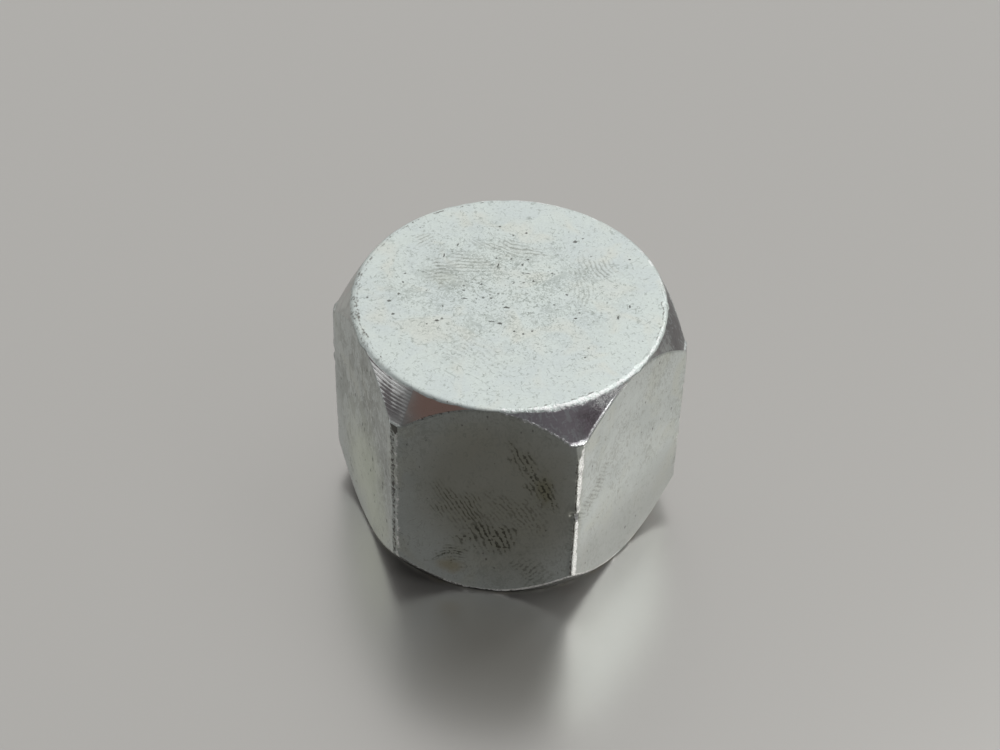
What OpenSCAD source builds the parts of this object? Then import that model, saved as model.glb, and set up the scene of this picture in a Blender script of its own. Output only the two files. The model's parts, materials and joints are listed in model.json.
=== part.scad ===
// Blind cap for a flared hydraulic fitting, standing on its open end.
// It is one piece of hexagon bar: turned to a cone at both ends, drilled from
// below with a form drill that leaves a conical seat, countersunk and tapped.
// The thread is not drawn: the bore is the hole of the tapping drill.
// Sizes are in millimetres, and the origin is the centre of the open end.

/* [Hexagon] */
// Thickness of the wall between the thread and a flat
wall = 1.59; // [1.1:0.01:6]
// Height from the open end to the closed end
cap_h = 18.6; // [15:0.1:40]
// Radius along each of the six long corners
corner_r = 0.3; // [0.1:0.05:0.8]

/* [Turned ends] */
// How far the closed end's flat face stops inside the flats
top_inset = 0.1; // [0.05:0.05:1.5]
// Slope of the closed end's chamfer, measured from the axis
top_slope = 30; // [25:1:60]
// How far the open end's flat rim stops inside the flats
rim_inset = 0.1; // [0.05:0.05:0.8]
// Slope of the open end's chamfer, measured from the axis
rim_slope = 32; // [25:1:60]
// Radius where a chamfer meets its end face
edge_r = 0.25; // [0.05:0.05:0.5]

/* [Thread] */
// Major diameter of the thread
thread_d = 19.05; // [16:0.05:40]
// Pitch of the thread
thread_pitch = 1.5875; // [0.75:0.0125:2.5]
// How far the countersink opens past the thread, all round
mouth_clear = 0.2; // [0.05:0.05:0.6]
// Full angle of the countersink at the mouth
mouth_angle = 90; // [60:5:120]

/* [Seat] */
// Thickness of metal left above the seat
end_wall = 2.8; // [1:0.1:5]
// Full angle of the conical seat
seat_angle = 74; // [60:1:90]
// Diameter of the flat floor at the seat's narrow end
floor_d = 9; // [4:0.1:12]

/* [Hidden] */

$fn = 96;
arc_steps = 4;                                   // flats along each small radius
cut_past = 1;                                    // how far a cutting shape runs past the metal

across_flats = thread_d + 2 * wall;
corner_reach = across_flats / sqrt(3);           // centre to a sharp corner
bar_reach = corner_reach + cut_past;             // clear of the corners, left as the bar came
top_face_r = across_flats / 2 - top_inset;
rim_face_r = across_flats / 2 - rim_inset;
top_cone_h = (bar_reach - top_face_r) / tan(top_slope);
rim_cone_h = (bar_reach - rim_face_r) / tan(rim_slope);

bore_r = (thread_d - thread_pitch) / 2;          // tapping drill: major diameter less one pitch
mouth_r = thread_d / 2 + mouth_clear;
mouth_h = (mouth_r - bore_r) / tan(mouth_angle / 2);
seat_h = (bore_r - floor_d / 2) / tan(seat_angle / 2);
bore_depth = cap_h - end_wall - seat_h;          // where the bore's wall meets the seat

function unit(v) = v / norm(v);

// Points that round the corner at p, which lies between points a and b
function rounded(a, p, b, r) =
    let (
        u = unit(a - p),
        v = unit(b - p),
        half = acos(u * v) / 2,
        centre = p + unit(u + v) * r / sin(half),
        first = p + u * r / tan(half) - centre,
        last = p + v * r / tan(half) - centre
    )
    [for (i = [0:arc_steps]) centre + r * unit(first + (last - first) * i / arc_steps)];

function hex_corner(i) = corner_reach * [cos(60 * i), sin(60 * i)];

// The bar as drawn: six flats with a small radius between them
module hexagon_bar() {
    outline = [for (i = [0:5]) each rounded(hex_corner(i - 1), hex_corner(i), hex_corner(i + 1), corner_r)];
    linear_extrude(height = cap_h)
        polygon(outline);
}

// What the lathe leaves: a cone at each end, with a rounded edge at each face
module turned_blank() {
    rim_edge = [rim_face_r, 0];
    rim_top = [bar_reach, rim_cone_h];
    cone_foot = [bar_reach, cap_h - top_cone_h];
    top_edge = [top_face_r, cap_h];
    section = concat(
        [[0, 0]],
        rounded([0, 0], rim_edge, rim_top, edge_r),
        [rim_top, cone_foot],
        rounded(cone_foot, top_edge, [0, cap_h], edge_r),
        [[0, cap_h]]
    );
    rotate_extrude()
        polygon(section);
}

// What is bored out from below: countersink, threaded bore, conical seat and floor
module bored_hollow() {
    rotate_extrude()
        polygon([
            [0, -cut_past],
            [mouth_r + cut_past * tan(mouth_angle / 2), -cut_past],
            [bore_r, mouth_h],
            [bore_r, bore_depth],
            [floor_d / 2, bore_depth + seat_h],
            [0, bore_depth + seat_h]
        ]);
}

module cap_body() {
    color([0.78, 0.81, 0.79])
        difference() {
            intersection() {
                hexagon_bar();
                turned_blank();
            }
            bored_hollow();
        }
}

cap_body();
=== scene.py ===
import json
from math import atan2, cos, exp, pi, radians, sin, sqrt, tan

import bmesh
import bpy
from mathutils import Matrix, Vector, noise


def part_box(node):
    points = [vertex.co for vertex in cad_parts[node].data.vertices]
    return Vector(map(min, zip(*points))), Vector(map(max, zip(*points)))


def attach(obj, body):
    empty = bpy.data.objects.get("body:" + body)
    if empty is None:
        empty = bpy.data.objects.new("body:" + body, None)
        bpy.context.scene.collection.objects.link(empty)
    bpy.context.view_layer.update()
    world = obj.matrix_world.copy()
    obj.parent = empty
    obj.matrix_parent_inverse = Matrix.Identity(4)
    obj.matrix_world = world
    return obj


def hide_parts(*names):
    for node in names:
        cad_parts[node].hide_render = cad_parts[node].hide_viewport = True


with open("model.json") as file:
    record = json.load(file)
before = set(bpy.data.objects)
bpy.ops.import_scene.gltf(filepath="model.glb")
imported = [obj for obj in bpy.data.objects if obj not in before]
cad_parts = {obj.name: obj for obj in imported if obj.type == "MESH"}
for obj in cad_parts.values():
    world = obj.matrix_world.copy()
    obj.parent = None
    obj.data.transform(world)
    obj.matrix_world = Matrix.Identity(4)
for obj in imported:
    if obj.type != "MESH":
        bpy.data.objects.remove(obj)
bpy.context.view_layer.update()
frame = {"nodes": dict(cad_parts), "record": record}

mm = 0.001
scene = bpy.context.scene
print("frame loaded:", ", ".join(sorted(frame["nodes"])))

# the camera looks down on the cap, and its aim is given along its own right and up
view = {
    "azimuth": radians(6.84),
    "elevation": radians(44.0),
    "roll": radians(1.7),
    "distance": 157.1 * mm,
    "aimRight": -0.525 * mm,
    "aimUp": 8.04 * mm,
    "lens": 74.05,
    "sensorWidth": 36.0,
    "clipStart": 10 * mm,
}


def addCamera():
    swing = Matrix.Rotation(view["azimuth"], 3, "Z")
    right = swing @ Vector((1, 0, 0))
    up = swing @ Vector((0, sin(view["elevation"]), cos(view["elevation"])))
    back = right.cross(up)
    data = bpy.data.cameras.new("camera")
    data.lens = view["lens"]
    data.sensor_width = view["sensorWidth"]
    data.clip_start = view["clipStart"]
    camera = bpy.data.objects.new("camera", data)
    turn = Matrix((right, up, back)).transposed() @ Matrix.Rotation(view["roll"], 3, "Z")
    place = right * view["aimRight"] + up * view["aimUp"] + back * view["distance"]
    camera.matrix_world = Matrix.Translation(place) @ turn.to_4x4()
    scene.collection.objects.link(camera)
    scene.camera = camera
    print("camera set")


addCamera()

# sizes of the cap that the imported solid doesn't state, with its wear
cap = {
    "topInset": 0.1 * mm,           # closed end's face stops this far inside the flats
    "topSlope": radians(30),        # its chamfer, from the axis
    "rimInset": 0.1 * mm,           # open end's rim stops this far inside the flats
    "rimSlope": radians(32),        # its chamfer, from the axis
    "edgeRadius": 0.36 * mm,        # worn radius where a chamfer meets its end face
    "edgeWear": 0.45,               # how much that radius wanders, as a share
    "edgeRipples": [(9, 1.0), (34, 0.6)],   # how closely it ripples, and how strongly
    "edgeSeeds": {"closed": 6, "open": 4},  # which ripples each end gets
    "cornerRadius": 0.2 * mm,       # radius along the six long corners, at half height
    "cornerFlare": 0.5,             # how much wider it gets towards both ends, as a share
    "cornerWear": 0.4,              # how much it wanders, as a share
    "cornerRipples": [(0.9, 9.1, 1.0), (3.1, 5.3, 0.7)],   # ripples in a mm, seed and strength
    "shoulderInset": 0.32 * mm,     # the upper chamfer stops this far inside a sharp corner
    "shoulderLedge": 0.13 * mm,     # the little step out at its foot
    "shoulderSlope": radians(4.5),  # the small steeper facet under that
    "arcBevel": 0.08 * mm,          # broken edge where the upper chamfer meets a flat
    "ledgeBevel": 0.25,             # how much of it is left on the ledge
    "lowBevel": 0.14 * mm,          # broken edge where the lower chamfer meets a flat
    "burr": 0.26 * mm,              # height of the burr that stands on the upper arcs in places
    "burrLean": 0.46,               # how far it leans back up the chamfer, as a share of its height
    "nickReach": radians(2.2),      # nicks reach this far round from a corner
    "nickShift": radians(-0.3),     # and sit a little to one side of it
    "nickBurr": 0.6,                # height of the burr over a nick, as a share of its depth
    "nickBurrRise": 2,              # how far over the nick that burr stands, in its half heights
    # edge wear: burnish with painted highlight above 0, bruising with painted shade below 0
    "rimWearAndLight": 0.1,                 # mean burnish and painted highlight round the end faces' edges, from -1 to 1
    "lipWearAndLight": -0.12,               # and just inside them
    "arcWearAndLight": 0.1,                 # and where a chamfer meets a flat
    "edgeFade": 0.5,                # how much less an edge is worn at its sides, as a share
    "crestFade": 1.6,               # how fast the wear ends beside a worn facet
    "mouthAngle": radians(90),      # countersink, side to side
    "mouthClear": 0.2 * mm,         # it opens this far past the thread
    "seatAngle": radians(74),       # conical seat, side to side
    "floorRadius": 4.5 * mm,        # flat floor at the seat's narrow end
    "columnsPerFlat": 60,           # copies of the section across each flat
    "crowding": 0.8,                # how strongly those copies gather at the corners
    "rowCrowding": 0.6,             # how strongly the rows down a flat gather at its ends
    "weldGap": 1e-5 * mm,           # vertices closer than this become one
    "finishes": ["face", "cone", "flat", "hollow"],   # in the order of the material slots
    # stretches of the section, from the closed end's centre round to the bored floor: steps and finish
    "stretches": {
        "face": (9, "face"), "faceEdge": (6, "face"), "topCone": (12, "cone"), "flat": (96, "flat"),
        "lowCone": (12, "cone"), "rimEdge": (4, "hollow"), "rim": (4, "hollow"), "mouth": (5, "hollow"),
        "bore": (12, "hollow"), "seat": (8, "hollow"), "floor": (3, "hollow"),
    },
    # worn facet on each long corner, from +X round: degrees that it is turned round, mm that it is cut below
    # the sharp corner, its burnish and painted highlight on its near side, middle and far side, and that of
    # the shoulder over it; below 0 these are bruising and painted shade
    "facets": [
        (9, 0.09, (0.3, 0.6, 0.4), -0.3), (-7, 0.09, (0.2, 0.5, 0.5), 0.2),
        (6, 0.08, (0.5, 0.3, 0.6), -0.3), (11, 0.09, (0.2, -0.3, 0.5), -0.4),
        (-8, 0.14, (-0.2, -0.55, 0.6), -1.3), (10, 0.085, (-0.9, 1.3, 1.2), -0.1),
    ],
    # knocks: long corner from +X round, height, half height and depth, in mm
    "nicks": [
        (5, 9.1, 0.3, 0.28), (5, 12.6, 0.2, 0.04), (5, 5.2, 0.3, 0.03),
        (4, 14.4, 0.3, 0.08), (4, 13.0, 0.25, 0.06), (4, 11.9, 0.2, 0.09), (4, 10.6, 0.35, 0.07),
        (4, 9.4, 0.25, 0.1), (4, 8.5, 0.2, 0.07), (4, 7.5, 0.3, 0.05),
        (3, 11.9, 0.3, 0.1), (3, 10.7, 0.25, 0.12), (3, 6.1, 0.25, 0.05),
        (0, 12.2, 0.25, 0.06), (0, 7.0, 0.3, 0.05), (1, 8.8, 0.3, 0.07), (2, 12.9, 0.3, 0.08),
    ],
    # lobes round the cap: azimuth and half width in degrees, and what they add there. First the worn radius
    # of each end face, as a share
    "closedDents": [
        (6.5, 1.3, 1.1), (-46, 1.2, 0.6), (-148, 2, 0.6), (-163, 1.5, 0.5), (118, 1.6, 0.7), (62, 1.2, 0.5),
        (-66, 1.5, 0.5), (-56, 1.2, 0.6), (-38, 1.6, 0.5), (-30, 1.2, 0.6), (-150, 30, 0.6),
        (172, 1.5, 0.9), (-178, 1.2, 1.1), (-170, 1.5, 0.7), (156, 1.2, 0.8), (100, 1.2, 0.7), (38, 1.4, 0.8),
    ],
    "openDents": [(-75, 2, 0.5), (130, 2.5, 0.7)],
    # then the wear of each edge, with painted highlight above 0 and painted shade below 0
    "rimLobes": [
        (-58, 20, 0.7), (-18, 13, 0.3), (-145, 28, -0.3), (-175, 20, -0.35), (92, 30, 0.35),
        (150, 18, -0.3), (30, 16, 0.3),
    ],
    "lipLobes": [(-56, 18, -0.4), (0, 14, -0.35), (128, 40, -0.3), (-160, 26, -0.35), (-105, 16, 0.12)],
    "topArcLobes": [
        (-51, 13, 0.9), (-76, 10, 0.4), (-108, 14, -0.5), (-140, 12, -0.1), (20, 14, 0.4), (75, 14, -0.35),
        (130, 16, 0.5), (170, 10, 0.3),
    ],
    "lowArcLobes": [(-72, 18, 0.7), (-98, 12, 0.35), (-30, 14, 0.4), (60, 25, 0.4), (150, 20, -0.3)],
    # and the burrs along the upper arcs, from 0 to 1
    "burrLobes": [(-52, 11, 1.0), (-74, 8, 0.25), (14, 10, 0.6), (128, 12, 0.7), (-132, 6, 0.4)],
}
thread = {
    "pitch": 1.5875 * mm,
    "majorRadius": 9.525 * mm,      # bottom of the cut
    "rootShare": 1 / 16,            # half the flat there, as a share of the pitch
    "flankAngle": radians(30),      # each flank, from square to the axis
    "overlap": 0.25 * mm,           # the cut starts this far inside the bore's wall
    "stepsPerTurn": 96,
    "start": -1.2 * mm,             # the tap comes in from below the mouth
    "runOut": 1.0 * mm,             # plain stretch left between the thread and the seat
    "fadeTurns": 0.8,               # the last part of a turn gets shallower
    "fadeClear": 0.1 * mm,          # and ends this far inside the wall
}

lowCorner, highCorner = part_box("cap_body")
boreMount = next(m for m in frame["record"]["mounts"] if m["name"] == "thread")
halfFlats = (highCorner.y - lowCorner.y) / 2
capHeight = highCorner.z
sharpReach = halfFlats / cos(radians(30))
shoulderRadius = sharpReach - cap["shoulderInset"]
faceRadius = halfFlats - cap["topInset"]
rimRadius = halfFlats - cap["rimInset"]
boreRadius = boreMount["dims"]["r_mm"] * mm
mouthRadius = thread["majorRadius"] + cap["mouthClear"]
mouthRise = (mouthRadius - boreRadius) / tan(cap["mouthAngle"] / 2)
boreTop = mouthRise + boreMount["dims"]["length_mm"] * mm
seatTop = boreTop + (boreRadius - cap["floorRadius"]) / tan(cap["seatAngle"] / 2)


def grain(x, y, z=0.0):
    return noise.noise(Vector((x, y, z)))


def mix(a, b, share):
    return a + (b - a) * share


def lobeSum(mean, lobes, azimuth):
    for place, reach, added in lobes:
        away = ((azimuth - radians(place) + pi) % (2 * pi) - pi) / radians(reach)
        mean += added * exp(-away ** 2)
    return mean


def cornerIndex(azimuth):
    # the long corners stand at every 60 degrees from +X
    return round(azimuth / (pi / 3)) % 6


def cornerOffset(azimuth):
    # azimuth from the nearest long corner
    return (azimuth + pi / 6) % (pi / 3) - pi / 6


def wornCorner(azimuth, height):
    # the corner's radius wanders along its length and flares towards both ends
    corner = cornerIndex(azimuth)
    share = 2 * height / capHeight - 1
    wander = sum(weight * grain(height / mm * often, corner * seed)
                 for often, seed, weight in cap["cornerRipples"])
    swell = 1 + cap["cornerFlare"] * abs(share) ** 3 + cap["cornerWear"] * wander
    return cap["cornerRadius"] * swell


def wornEdge(azimuth, end):
    # the radius round an end face wanders with azimuth, and a few knocks widen it
    x, y, seed = cos(azimuth), sin(azimuth), cap["edgeSeeds"][end]
    wander = sum(weight * grain(x * often, y * often, seed) for often, weight in cap["edgeRipples"])
    return cap["edgeRadius"] * lobeSum(1 + cap["edgeWear"] * wander, cap[end + "Dents"], azimuth)


def barReach(azimuth, height):
    # from the axis to the bar's skin, with a radius and a worn facet on each long corner
    offset = cornerOffset(azimuth)
    radius = wornCorner(azimuth, height)
    degrees, bite = cap["facets"][cornerIndex(azimuth)][:2]
    lean = radians(degrees)
    facet = (sharpReach * cos(lean) - bite * mm * radius / cap["cornerRadius"]) / cos(offset - lean)
    centre = (halfFlats - radius) / cos(pi / 6)
    roundShare = atan2(radius * sin(pi / 6), centre + radius * cos(pi / 6))
    if abs(offset) < roundShare:
        return min(facet, centre * cos(offset) + sqrt(radius ** 2 - (centre * sin(offset)) ** 2))
    return min(facet, halfFlats / cos(pi / 6 - abs(offset)))


def shoulderReach(height):
    # the small steeper facet that stands under the upper chamfer at each long corner
    foot = capHeight - (shoulderRadius - faceRadius) / tan(cap["topSlope"])
    return shoulderRadius + cap["shoulderLedge"] + (foot - height) * tan(cap["shoulderSlope"])


def nickDepth(azimuth, height):
    # how far the nicks bite into the skin here, each with a burr pushed up over it
    share = max(0.0, 1 - ((cornerOffset(azimuth) - cap["nickShift"]) / cap["nickReach"]) ** 2) ** 2
    depth = 0.0
    for corner, place, reach, bite in cap["nicks"]:
        if corner == cornerIndex(azimuth):
            away = (height / mm - place) / reach
            burr = cap["nickBurr"] * exp(-(away - cap["nickBurrRise"]) ** 2)
            depth += bite * mm * (exp(-away ** 2) - burr)
    return share * depth


def edgeWear(stretch, share, azimuth, height):
    # 1 on a crest burnished bright with a painted highlight, below 0 where the crest is bruised dark with
    # painted shade, 0 away from edges
    if stretch in ("faceEdge", "rimEdge"):
        middle = 1 - abs(2 * share - 1) * cap["edgeFade"]
        return lobeSum(cap["rimWearAndLight"], cap["rimLobes"], azimuth) * middle
    if stretch == "face":
        return lobeSum(cap["lipWearAndLight"], cap["lipLobes"], azimuth) if share == 1 else 0.0
    arc = 0.0
    if (stretch, share) in (("topCone", 1), ("flat", 0)):
        arc = lobeSum(cap["arcWearAndLight"], cap["topArcLobes"], azimuth)
    if (stretch, share) in (("flat", 1), ("lowCone", 0)):
        arc = lobeSum(cap["arcWearAndLight"], cap["lowArcLobes"], azimuth)
    if stretch != "flat":
        return arc
    degrees, bite, wears, shoulderWearAndLight = cap["facets"][cornerIndex(azimuth)]
    if share > 0 and shoulderReach(height) < barReach(azimuth, height):
        return shoulderWearAndLight
    # the facet spans unequal widths on either side of the corner when it is turned round
    depth = bite * mm * wornCorner(azimuth, height) / cap["cornerRadius"]
    near, far = depth / tan(radians(30 + degrees)), depth / tan(radians(30 - degrees))
    across = (2 * cornerOffset(azimuth) * sharpReach - far + near) / (far + near)
    side = wears[0] if across < 0 else wears[2]
    inside = max(0.0, min(1.0, 1 + cap["crestFade"] * (1 - abs(across))))
    crest = mix(wears[1], side, min(abs(across), 1.0)) * inside
    return arc if abs(arc) > abs(crest) else crest


def arcCentre(sharpRadius, slope, radius):
    # how far out the centre of the arc stands that rounds an end face into its chamfer
    return sharpRadius - radius * tan((pi / 2 - slope) / 2)


def sectionPoint(stretch, share, azimuth):
    # radius and height of the section at this azimuth, share of the way down one stretch
    topSlope, rimSlope = cap["topSlope"], cap["rimSlope"]
    topEdge, rimEdge = wornEdge(azimuth, "closed"), wornEdge(azimuth, "open")
    topCentre = arcCentre(faceRadius, topSlope, topEdge)
    rimCentre = arcCentre(rimRadius, rimSlope, rimEdge)
    topBar, lowReach = barReach(azimuth, capHeight), barReach(azimuth, 0.0)
    topReach = min(topBar, shoulderRadius)
    topArc = capHeight - (topReach - faceRadius) / tan(topSlope)
    lowArc = (lowReach - rimRadius) / tan(rimSlope)
    # the bevel is tighter on the ledge that the chamfer leaves at a corner
    topBevel = cap["arcBevel"] * (cap["ledgeBevel"] if topBar > shoulderRadius else 1)
    lowBevel = cap["lowBevel"]
    burr = cap["burr"] * lobeSum(0.0, cap["burrLobes"], azimuth)

    if stretch == "face":
        return topCentre * sin(pi / 2 * share), capHeight
    if stretch == "faceEdge":
        tilt = mix(pi / 2, topSlope, share)
        return topCentre + topEdge * cos(tilt), capHeight - topEdge + topEdge * sin(tilt)
    if stretch == "topCone":
        startRadius = topCentre + topEdge * cos(topSlope)
        startHeight = capHeight - topEdge + topEdge * sin(topSlope)
        back = topBevel + cap["burrLean"] * burr
        endRadius, endHeight = topReach - back * sin(topSlope), topArc + back * cos(topSlope)
        return mix(startRadius, endRadius, share), mix(startHeight, min(endHeight, startHeight), share)
    if stretch == "flat":
        down = mix(share, (1 - cos(pi * share)) / 2, cap["rowCrowding"])
        height = mix(topArc - topBevel, lowArc + lowBevel, down) + (burr if share == 0 else 0)
        reach = min(barReach(azimuth, height), shoulderReach(height))
        return reach - nickDepth(azimuth, height), height
    if stretch == "lowCone":
        endRadius = rimCentre + rimEdge * cos(rimSlope)
        endHeight = rimEdge - rimEdge * sin(rimSlope)
        startRadius = lowReach - lowBevel * sin(rimSlope)
        startHeight = max(lowArc - lowBevel * cos(rimSlope), endHeight)
        return mix(startRadius, endRadius, share), mix(startHeight, endHeight, share)
    if stretch == "rimEdge":
        tilt = mix(-rimSlope, -pi / 2, share)
        return rimCentre + rimEdge * cos(tilt), rimEdge + rimEdge * sin(tilt)
    if stretch == "rim":
        return mix(rimCentre, mouthRadius, share), 0.0
    if stretch == "mouth":
        return mix(mouthRadius, boreRadius, share), mouthRise * share
    if stretch == "bore":
        return boreRadius, mix(mouthRise, boreTop, share)
    if stretch == "seat":
        return mix(boreRadius, cap["floorRadius"], share), mix(boreTop, seatTop, share)
    return mix(cap["floorRadius"], 0.0, share), seatTop


def sectionSteps():
    # every ring of the turned blank: its stretch and how far down it. A bevel parts the flat and the lower
    # cone from what comes before, so they start with a ring of their own
    steps = []
    for stretch, (count, _) in cap["stretches"].items():
        first = 0 if stretch in ("face", "flat", "lowCone") else 1
        steps += [(stretch, i / count) for i in range(first, count + 1)]
    return steps


def turnBlank(steps):
    # a plain tube, one ring a step and one column a copy of the section
    bm = bmesh.new()
    row = bm.verts.layers.int.new("row")
    bm.verts.layers.float.new("wear")
    chain = []
    for i in range(len(steps)):
        vert = bm.verts.new((1, 0, -i))
        vert[row] = i
        chain.append(vert)
    edges = [bm.edges.new(pair) for pair in zip(chain, chain[1:])]
    bmesh.ops.spin(bm, geom=chain + edges, cent=(0, 0, 0), axis=(0, 0, 1), dvec=(0, 0, 0),
                   angle=2 * pi, steps=6 * cap["columnsPerFlat"], use_merge=True, use_duplicate=False)
    return bm, row


def columnAzimuth(vert):
    # columns are moved towards the corners, where the radius needs them
    perFlat = cap["columnsPerFlat"]
    column = round(atan2(vert.co.y, vert.co.x) / (2 * pi) * 6 * perFlat) % (6 * perFlat)
    share = 2 * (column % perFlat) / perFlat - 1
    crowded = share + cap["crowding"] * sin(pi * share) / pi
    return pi / 3 * (column // perFlat) + pi / 6 * (1 + crowded)


def paintFaces(faces, finish):
    for face in faces:
        face.material_index = cap["finishes"].index(finish)
        face.smooth = True


def shapeCap():
    steps = sectionSteps()
    bm, row = turnBlank(steps)
    for face in bm.faces:
        stretch = steps[max(vert[row] for vert in face.verts)][0]
        paintFaces([face], cap["stretches"][stretch][1])
    wear = bm.verts.layers.float["wear"]
    for vert in bm.verts:
        azimuth = columnAzimuth(vert)
        radius, height = sectionPoint(*steps[vert[row]], azimuth)
        vert[wear] = edgeWear(*steps[vert[row]], azimuth, height)
        vert.co = Vector((radius * cos(azimuth), radius * sin(azimuth), height))
    bmesh.ops.remove_doubles(bm, verts=bm.verts, dist=cap["weldGap"])
    bmesh.ops.recalc_face_normals(bm, faces=bm.faces)
    return bm


def shapeThreadCut():
    # the groove that the tap leaves: a wedge spun up the axis, shallower at its end
    inner, outer = boreRadius - thread["overlap"], thread["majorRadius"]
    outerHalf = thread["pitch"] * thread["rootShare"]
    innerHalf = outerHalf + (outer - inner) * tan(thread["flankAngle"])
    length = boreTop - thread["runOut"] - thread["start"]
    turns = length / thread["pitch"]
    steps = int(turns * thread["stepsPerTurn"])
    bm = bmesh.new()
    corners = [(inner, -innerHalf), (outer, -outerHalf), (outer, outerHalf), (inner, innerHalf)]
    verts = [bm.verts.new((radius, 0, thread["start"] + height)) for radius, height in corners]
    wedge = bm.faces.new(verts)
    bmesh.ops.spin(bm, geom=verts + list(wedge.edges) + [wedge], cent=(0, 0, 0), axis=(0, 0, 1),
                   dvec=(0, 0, length / steps), angle=2 * pi * turns, steps=steps,
                   use_merge=False, use_duplicate=False)
    bmesh.ops.recalc_face_normals(bm, faces=bm.faces)
    paintFaces(bm.faces, "hollow")
    fadeLength = thread["fadeTurns"] * thread["pitch"]
    fadeFrom = thread["start"] + length - fadeLength
    for vert in bm.verts:
        radius = vert.co.xy.length
        if vert.co.z > fadeFrom and radius > boreRadius:
            share = min((vert.co.z - fadeFrom) / fadeLength, 1.0)
            vert.co.xy *= mix(radius, boreRadius - thread["fadeClear"], share) / radius
    return bm


def meshObject(name, bm):
    mesh = bpy.data.meshes.new(name)
    bm.to_mesh(mesh)
    bm.free()
    piece = bpy.data.objects.new(name, mesh)
    scene.collection.objects.link(piece)
    return piece


def addNode(tree, kind, sockets=None, **settings):
    # a socket's value is a number, a colour or the output that it is linked to
    node = tree.nodes.new("ShaderNode" + kind)
    for name, value in settings.items():
        setattr(node, name, value)
    for name, value in (sockets or {}).items():
        if isinstance(value, bpy.types.NodeSocket):
            tree.links.new(value, node.inputs[name])
        else:
            node.inputs[name].default_value = value
    return node


def maths(tree, operation, *values):
    return addNode(tree, "Math", dict(enumerate(values)), operation=operation).outputs[0]


def times(tree, first, second):
    return maths(tree, "MULTIPLY", first, second)


def timesPlus(tree, first, second, added):
    return maths(tree, "MULTIPLY_ADD", first, second, added)


def centred(tree, value):
    # noise runs round 0.5
    return maths(tree, "SUBTRACT", value, 0.5)


def vectorMaths(tree, operation, *values):
    # a length and a dot product come out as a number
    output = "Value" if operation in ("LENGTH", "DOT_PRODUCT") else "Vector"
    return addNode(tree, "VectorMath", dict(enumerate(values)), operation=operation).outputs[output]


def fade(tree, value, start, end, low=0.0, high=1.0):
    # goes smoothly from low at start to high at end
    sockets = {"Value": value, "From Min": start, "From Max": end, "To Min": low, "To Max": high}
    return addNode(tree, "MapRange", sockets, interpolation_type="SMOOTHSTEP").outputs[0]


def blendColor(tree, share, first, second, kind="MIX"):
    # the Mix node's colour sockets come after its number and vector ones
    sockets = {0: share, 6: first, 7: second}
    return addNode(tree, "Mix", sockets, data_type="RGBA", blend_type=kind).outputs[2]


def inUnits(tree, vector, size):
    # the place counted in units of size
    sockets = {0: vector, "Scale": maths(tree, "DIVIDE", 1.0, size)}
    return addNode(tree, "VectorMath", sockets, operation="SCALE").outputs[0]


def noiseOf(tree, vector, size, detail=2.0, roughness=0.5, distortion=0.0, output=0):
    sockets = {"Vector": inUnits(tree, vector, size), "Scale": 1.0, "Detail": detail,
               "Roughness": roughness, "Distortion": distortion}
    return addNode(tree, "TexNoise", sockets).outputs[output]


def newGroup(name, **inputs):
    # every group reads a place. A socket's kind follows from its value: three numbers, four or one
    kinds = {3: "NodeSocketVector", 4: "NodeSocketColor"}
    group = bpy.data.node_groups.new(name, "ShaderNodeTree")
    for label, value in {"vector": (0, 0, 0), **inputs}.items():
        kind = kinds[len(value)] if isinstance(value, tuple) else "NodeSocketFloat"
        group.interface.new_socket(label, in_out="INPUT", socket_type=kind).default_value = value
    return group, group.nodes.new("NodeGroupInput").outputs


def finishGroup(group, **outputs):
    # what comes out keeps its own kind
    kinds = {"VALUE": "NodeSocketFloat", "VECTOR": "NodeSocketVector", "RGBA": "NodeSocketColor"}
    for label, value in outputs.items():
        group.interface.new_socket(label, in_out="OUTPUT", socket_type=kinds[value.type])
    result = group.nodes.new("NodeGroupOutput")
    for label, value in outputs.items():
        group.links.new(value, result.inputs[label])
    return group


def placeGroup(tree, group, **sockets):
    return addNode(tree, "Group", sockets, node_tree=group).outputs


def makePlateTone():
    # plated ground: a pale colour with slow clouds, a faint second tint and a fine grain
    group, given = newGroup("plateTone", pale=(1, 1, 1, 1), cloud=(1, 1, 1, 1), tint=(1, 1, 1, 1),
                            cloudSize=3 * mm, grainSize=0.2 * mm, grainShare=0.1)
    clouds = noiseOf(group, given["vector"], given["cloudSize"], 3.0, 0.6, 0.4)
    ground = blendColor(group, fade(group, clouds, 0.38, 0.66), given["pale"], given["cloud"])
    shifted = vectorMaths(group, "ADD", given["vector"], (0.31, 0.17, 0.23))
    tints = noiseOf(group, shifted, given["cloudSize"], 2.0, 0.5, 0.6)
    tinted = blendColor(group, fade(group, tints, 0.5, 0.72), ground, given["tint"])
    grains = noiseOf(group, given["vector"], given["grainSize"], 4.0, 0.65)
    shade = timesPlus(group, centred(group, grains), given["grainShare"], 1.0)
    shadeColor = addNode(group, "CombineColor", {0: shade, 1: shade, 2: shade}).outputs[0]
    return finishGroup(group, color=blendColor(group, 1.0, tinted, shadeColor, "MULTIPLY"), grain=grains)


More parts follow.
